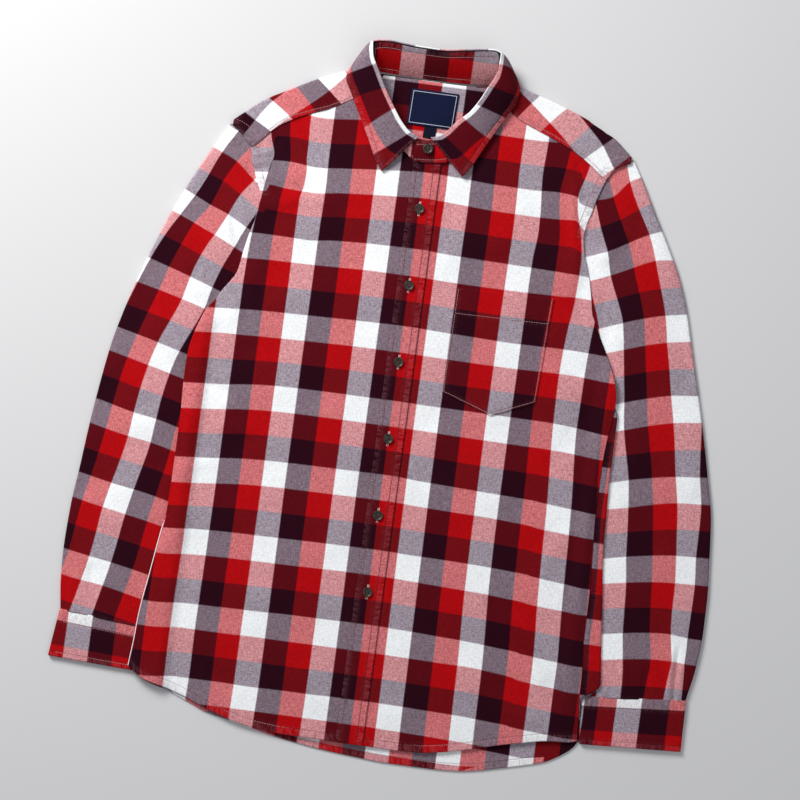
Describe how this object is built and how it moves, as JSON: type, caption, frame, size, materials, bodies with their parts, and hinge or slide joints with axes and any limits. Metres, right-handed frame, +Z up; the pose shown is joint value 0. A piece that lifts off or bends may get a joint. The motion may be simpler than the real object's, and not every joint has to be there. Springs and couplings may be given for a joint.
{
  "type": "flannel shirt",
  "caption": "Long-sleeved button-up checked flannel shirt with pointed collar and chest pocket, laid flat on its back.",
  "frame": {"origin": "middle of the shirt's outline on the surface that it lies on", "axes": "+Z up from the surface, +Y from hem to collar, +X towards the wearer's left sleeve"},
  "size_m": [0.7549, 0.8389, 0.0292],
  "materials": {
    "flannel": "brushed cotton flannel in a red, white and dark plum check",
    "label": "woven damask label",
    "button": "polished imitation horn"
  },
  "bodies": {
    "root": {"back_panel": "flannel", "front_right": "flannel", "front_left": "flannel", "placket": "flannel", "pocket": "flannel", "yoke": "flannel", "yoke_lining": "flannel", "sleeve_right": "flannel", "sleeve_left": "flannel", "cuff_right": "flannel", "cuff_left": "flannel", "collar_stand": "flannel", "collar_leaf": "flannel", "neck_label": "label", "size_tab": "label", "button_1": "button", "button_2": "button", "button_3": "button", "button_4": "button", "button_5": "button", "button_6": "button", "button_7": "button"}
  },
  "joints": []
}
